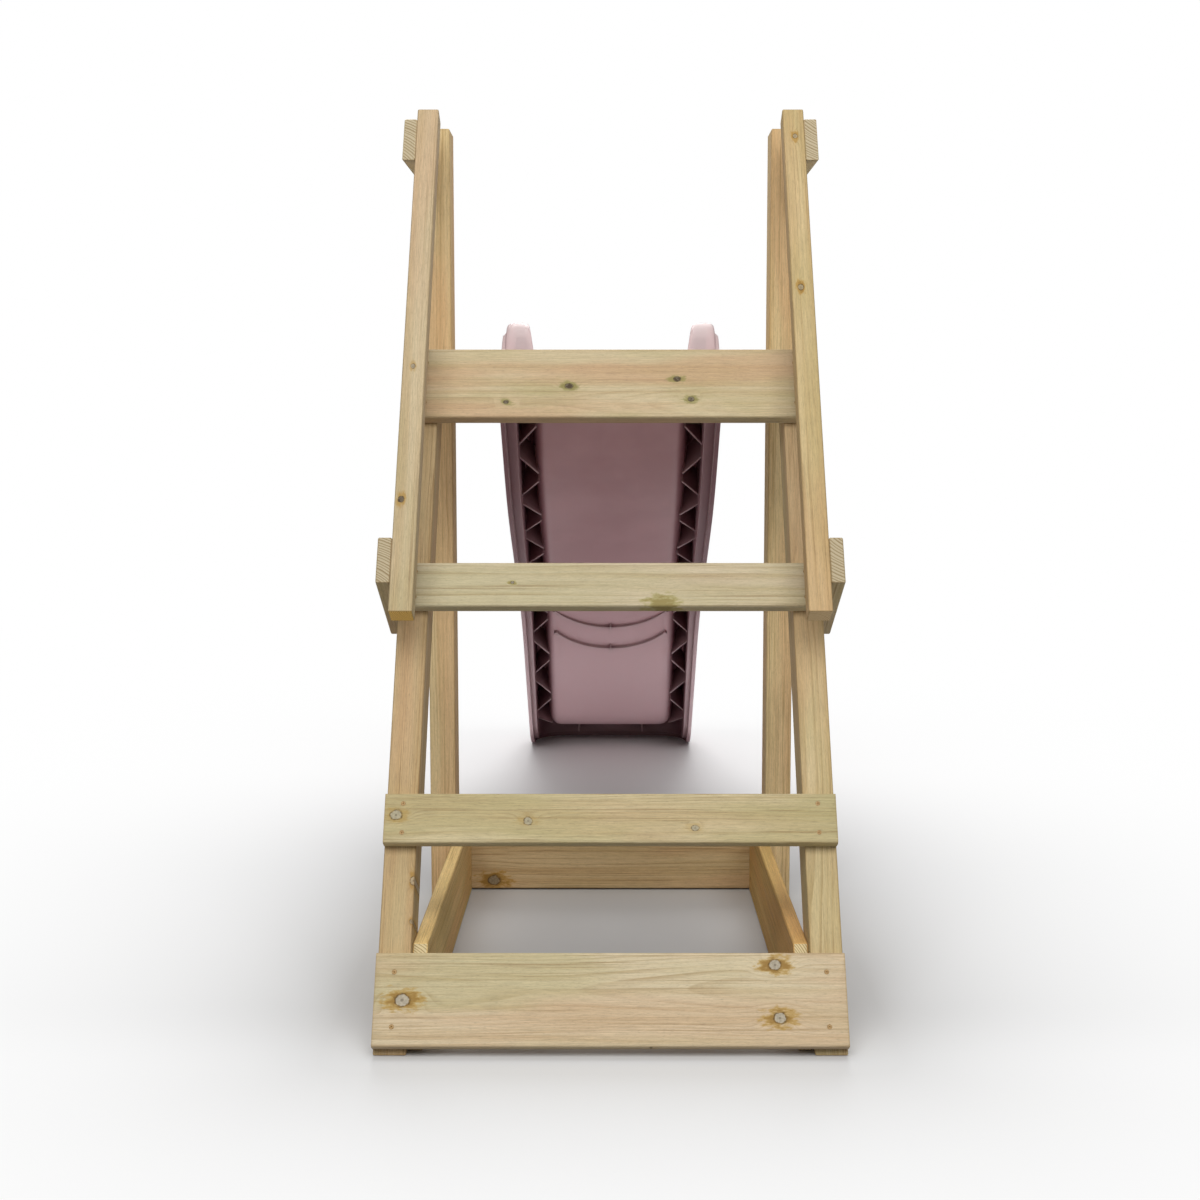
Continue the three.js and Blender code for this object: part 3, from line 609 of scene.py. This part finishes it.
def plastic():
    t = Tree("moulded_pink")
    at = t.coord.outputs["Object"]
    place = t.split(at)
    normal = t.split(t.coord.outputs["Normal"])
    cloud = t.noise(at, 6.0, 3.0, 0.6)
    speck = t.noise(at, 420.0, 2.0, 0.6)

    colour = t.mix(t.span(cloud, 0.35, 0.7), srgb(188, 151, 156), srgb(197, 161, 166))
    # Painted shade: faces that look to either side are darker
    painted_side_shade = t.span(t.math("ABSOLUTE", normal[0]), 0.35, 0.8, 0.0, 0.55)
    colour = t.mix(painted_side_shade, colour, srgb(156, 110, 119))
    # Painted shade: the skirts' front-facing faces are darker below the top
    painted_skirt_shade = t.span(t.math("ABSOLUTE", place[0]), SKIRT_IN, SKIRT_OUT)
    painted_skirt_shade = t.math("MULTIPLY", painted_skirt_shade, t.span(normal[1], 0.1, -0.4))
    painted_skirt_shade = t.math("MULTIPLY", painted_skirt_shade, t.span(place[2], SKIRT_TOP, SKIRT_FULL, 0.0, 0.8))
    colour = t.mix(painted_skirt_shade, colour, srgb(128, 84, 93))
    # Painted light: downward faces low on the chute are lighter, standing in for light thrown up from the
    # floor
    painted_low_light = t.math("MULTIPLY", t.span(place[2], PAINTED_LIGHT_TOP, PAINTED_LIGHT_FULL), t.span(normal[2], -0.2, -0.6))
    colour = t.mix(t.math("MULTIPLY", painted_low_light, 0.85), colour, srgb(236, 208, 212))
    # Painted light: faces that look up are paler, as if lit from above
    painted_top_light = t.span(normal[2], -0.1, 0.9, 0.0, 0.8)
    colour = t.mix(painted_top_light, colour, srgb(211, 191, 189))
    scuff = t.span(t.noise(t.vector("MULTIPLY", at, (700, 9, 9)), 1.0, 3.0, 0.6), 0.58, 0.72)
    scuff = t.math("MULTIPLY", scuff, t.span(cloud, 0.4, 0.7))
    colour = t.mix(t.math("MULTIPLY", scuff, 0.18), colour, srgb(224, 204, 204))
    # Painted shade: darker where the AO node finds walls close by, in the hollows
    painted_hollow_shade = t.add("ShaderNodeAmbientOcclusion", samples=4)
    painted_hollow_shade.inputs["Distance"].default_value = HOLLOW_REACH
    colour = t.mix(t.span(painted_hollow_shade.outputs["AO"], 0.75, 0.25, 0.0, 0.85), colour, srgb(132, 88, 96))
    rounded = t.add("ShaderNodeBevel", samples=6)
    rounded.inputs["Radius"].default_value = EDGE_RADIUS
    flat = t.add("ShaderNodeNewGeometry")
    # Painted highlight: lighter along the rounded edges, where the Bevel node's normal turns away from the
    # face's own
    painted_edge_highlight = t.span(t.vector("DOT_PRODUCT", rounded.outputs[0], flat.outputs["Normal"]), 0.97, 0.80)
    colour = t.mix(t.math("MULTIPLY", painted_edge_highlight, 0.75), colour, srgb(226, 202, 203))

    rough = t.math("MULTIPLY_ADD", scuff, 0.16, t.span(cloud, 0.3, 0.75, 0.36, 0.48))
    height = t.math("MULTIPLY_ADD", scuff, 0.3, t.math("MULTIPLY", speck, 0.5))
    shader = t.surface(colour, rough, height, 0.10, 0.0004, specular=0.45, normal=rounded.outputs[0])
    shader.inputs["Subsurface Weight"].default_value = 0.35
    shader.inputs["Subsurface Radius"].default_value = (1.0, 0.92, 0.93)
    shader.inputs["Subsurface Scale"].default_value = 0.012
    return t.material


def smooth_by_angle(obj, degrees):
    """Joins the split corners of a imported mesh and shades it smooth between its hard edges."""
    group = bpy.data.node_groups.new("smooth_by_angle", "GeometryNodeTree")
    group.interface.new_socket("Geometry", in_out="INPUT", socket_type="NodeSocketGeometry")
    group.interface.new_socket("Geometry", in_out="OUTPUT", socket_type="NodeSocketGeometry")
    source = group.nodes.new("NodeGroupInput")
    sink = group.nodes.new("NodeGroupOutput")
    weld = group.nodes.new("GeometryNodeMergeByDistance")
    weld.inputs["Distance"].default_value = WELD
    forget = group.nodes.new("GeometryNodeRemoveAttribute")
    forget.inputs["Name"].default_value = "custom_normal"
    faces = group.nodes.new("GeometryNodeSetShadeSmooth")
    faces.domain = "FACE"
    edges = group.nodes.new("GeometryNodeSetShadeSmooth")
    edges.domain = "EDGE"
    edges.inputs["Shade Smooth"].default_value = False
    angle = group.nodes.new("GeometryNodeInputMeshEdgeAngle")
    compare = group.nodes.new("FunctionNodeCompare")
    compare.operation = "GREATER_THAN"
    compare.inputs[1].default_value = math.radians(degrees)
    link = group.links.new
    link(source.outputs[0], weld.inputs["Geometry"])
    link(weld.outputs[0], forget.inputs["Geometry"])
    link(forget.outputs[0], faces.inputs["Geometry"])
    link(faces.outputs[0], edges.inputs["Geometry"])
    link(angle.outputs["Unsigned Angle"], compare.inputs[0])
    link(compare.outputs[0], edges.inputs["Selection"])
    link(edges.outputs[0], sink.inputs[0])
    modifier = obj.modifiers.new("smooth", "NODES")
    modifier.node_group = group


dress(chute, plastic())
smooth_by_angle(chute, 28)


# Floor: pale, with painted shade near the slide as well as its real shadows, fading into the white backdrop

FLOOR_SIZE = 60
FLOOR_DROP = 0.0005  # metres under the slide's feet
FADE_START = 0.05  # metres past the CAD box
FADE_LENGTH = 0.28  # metres over which the floor's own look falls to 1/e
BACK_START, BACK_FULL = -0.3, 0.8  # y over which the floor turns paler behind the ladder
FRONT_START, FRONT_FULL = -0.98, -1.25  # y over which it does so in front of it


def floor():
    bpy.ops.mesh.primitive_plane_add(size=FLOOR_SIZE, location=(0, 0, -FLOOR_DROP))
    plane = bpy.context.object
    plane.name = "floor"
    t = Tree("floor")
    at = t.coord.outputs["Object"]

    # Distance past the CAD box, less FADE_START, and 0 over the box and nearer to it than that
    corner = cad_box[1]
    past = t.vector("SUBTRACT", t.vector("ABSOLUTE", at), (corner[0], corner[1], 0.0))
    flat = t.vector("MULTIPLY", t.vector("MAXIMUM", past, (0, 0, 0)), (1, 1, 0))
    outside = t.vector("LENGTH", flat)
    past_x, past_y, _ = t.split(past)
    inside = t.math("MINIMUM", t.math("MAXIMUM", past_x, past_y), 0.0)
    away = t.math("SUBTRACT", t.math("ADD", outside, inside), FADE_START)
    away = t.math("MAXIMUM", away, 0.0)
    fade = t.math("SUBTRACT", 1.0, t.math("EXPONENT", t.math("MULTIPLY", away, -1 / FADE_LENGTH)))

    # Rays that see the floor itself, unlike those that bring its light to the slide
    path = t.add("ShaderNodeLightPath")
    seen = t.largest([path.outputs[f"Is {kind} Ray"] for kind in ("Camera", "Glossy", "Transmission")])

    y = t.split(at)[1]
    back = t.span(y, BACK_START, BACK_FULL)
    front = t.span(y, FRONT_START, FRONT_FULL)
    # Painted shadow and light: the floor is darker over the middle where the slide stands and paler behind
    # and in front of it; bounce does the same for the rays that light the slide
    shade = t.mix(back, grey(195), grey(246))
    shade = t.mix(front, shade, grey(220))
    bounce = t.mix(back, grey(160), grey(240))
    shader = t.add("ShaderNodeBsdfPrincipled")
    t.put(shader.inputs["Base Color"], t.mix(seen, bounce, shade))
    shader.inputs["Roughness"].default_value = 0.6
    shader.inputs["Specular IOR Level"].default_value = 0.2
    white = t.add("ShaderNodeEmission")
    white.inputs["Color"].default_value = (1, 1, 1, 1)
    blend = t.add("ShaderNodeMixShader")
    t.put(blend.inputs[0], t.math("MULTIPLY", fade, seen))
    t.put(blend.inputs[1], shader.outputs[0])
    t.put(blend.inputs[2], white.outputs[0])
    out = t.add("ShaderNodeOutputMaterial")
    t.put(out.inputs[0], blend.outputs[0])
    plane.data.materials.append(t.material)


floor()


# Light: a dim even surround that looks white, and four soft lamps

def surround(level):
    """White to the camera, and level bright to everything that it lights."""
    world = bpy.data.worlds.new("surround")
    bpy.context.scene.world = world
    world.use_nodes = True
    tree = world.node_tree
    tree.nodes.clear()
    path = tree.nodes.new("ShaderNodeLightPath")
    seen = tree.nodes.new("ShaderNodeMath")
    seen.operation = "MAXIMUM"
    tree.links.new(path.outputs["Is Camera Ray"], seen.inputs[0])
    tree.links.new(path.outputs["Is Transmission Ray"], seen.inputs[1])
    blend = tree.nodes.new("ShaderNodeMixShader")
    tree.links.new(seen.outputs[0], blend.inputs[0])
    for socket, strength in ((blend.inputs[1], level), (blend.inputs[2], 1.0)):
        background = tree.nodes.new("ShaderNodeBackground")
        background.inputs["Color"].default_value = (1, 1, 1, 1)
        background.inputs["Strength"].default_value = strength
        tree.links.new(background.outputs[0], socket)
    out = tree.nodes.new("ShaderNodeOutputWorld")
    tree.links.new(blend.outputs[0], out.inputs[0])


def lamp(name, place, aim, size, power):
    data = bpy.data.lights.new(name, "AREA")
    data.shape = "DISK"
    data.size = size
    data.energy = power
    obj = bpy.data.objects.new(name, data)
    bpy.context.scene.collection.objects.link(obj)
    obj.location = place
    obj.rotation_euler = (Vector(aim) - Vector(place)).to_track_quat("-Z", "Y").to_euler()


surround(0.21)
for side, x in (("left", -1.3), ("right", 1.3)):
    lamp(f"key_{side}", (x, -4.8, 4.4), (0, -0.6, 0.6), size=3.6, power=134)
lamp("overhead", (0, 0.2, 4.6), (0, 0.2, 0.4), size=4.0, power=62)
lamp("back", (0, 4.4, 4.2), (0, 0.4, 0.4), size=3.6, power=160)


# Camera: eye level a little under the deck, tipped slightly down

CAMERA_PLACE = (0, -3.3696, 0.8365)
CAMERA_TIP = 5.75  # degrees below level

camera_data = bpy.data.cameras.new("camera")
camera_data.lens = 50
camera_data.sensor_width = 36
camera_data.shift_x = -0.00875
camera = bpy.data.objects.new("camera", camera_data)
camera.location = CAMERA_PLACE
camera.rotation_euler = (math.radians(90 - CAMERA_TIP), 0, 0)
bpy.context.scene.collection.objects.link(camera)
bpy.context.scene.camera = camera
bpy.context.scene.view_settings.view_transform = "Standard"
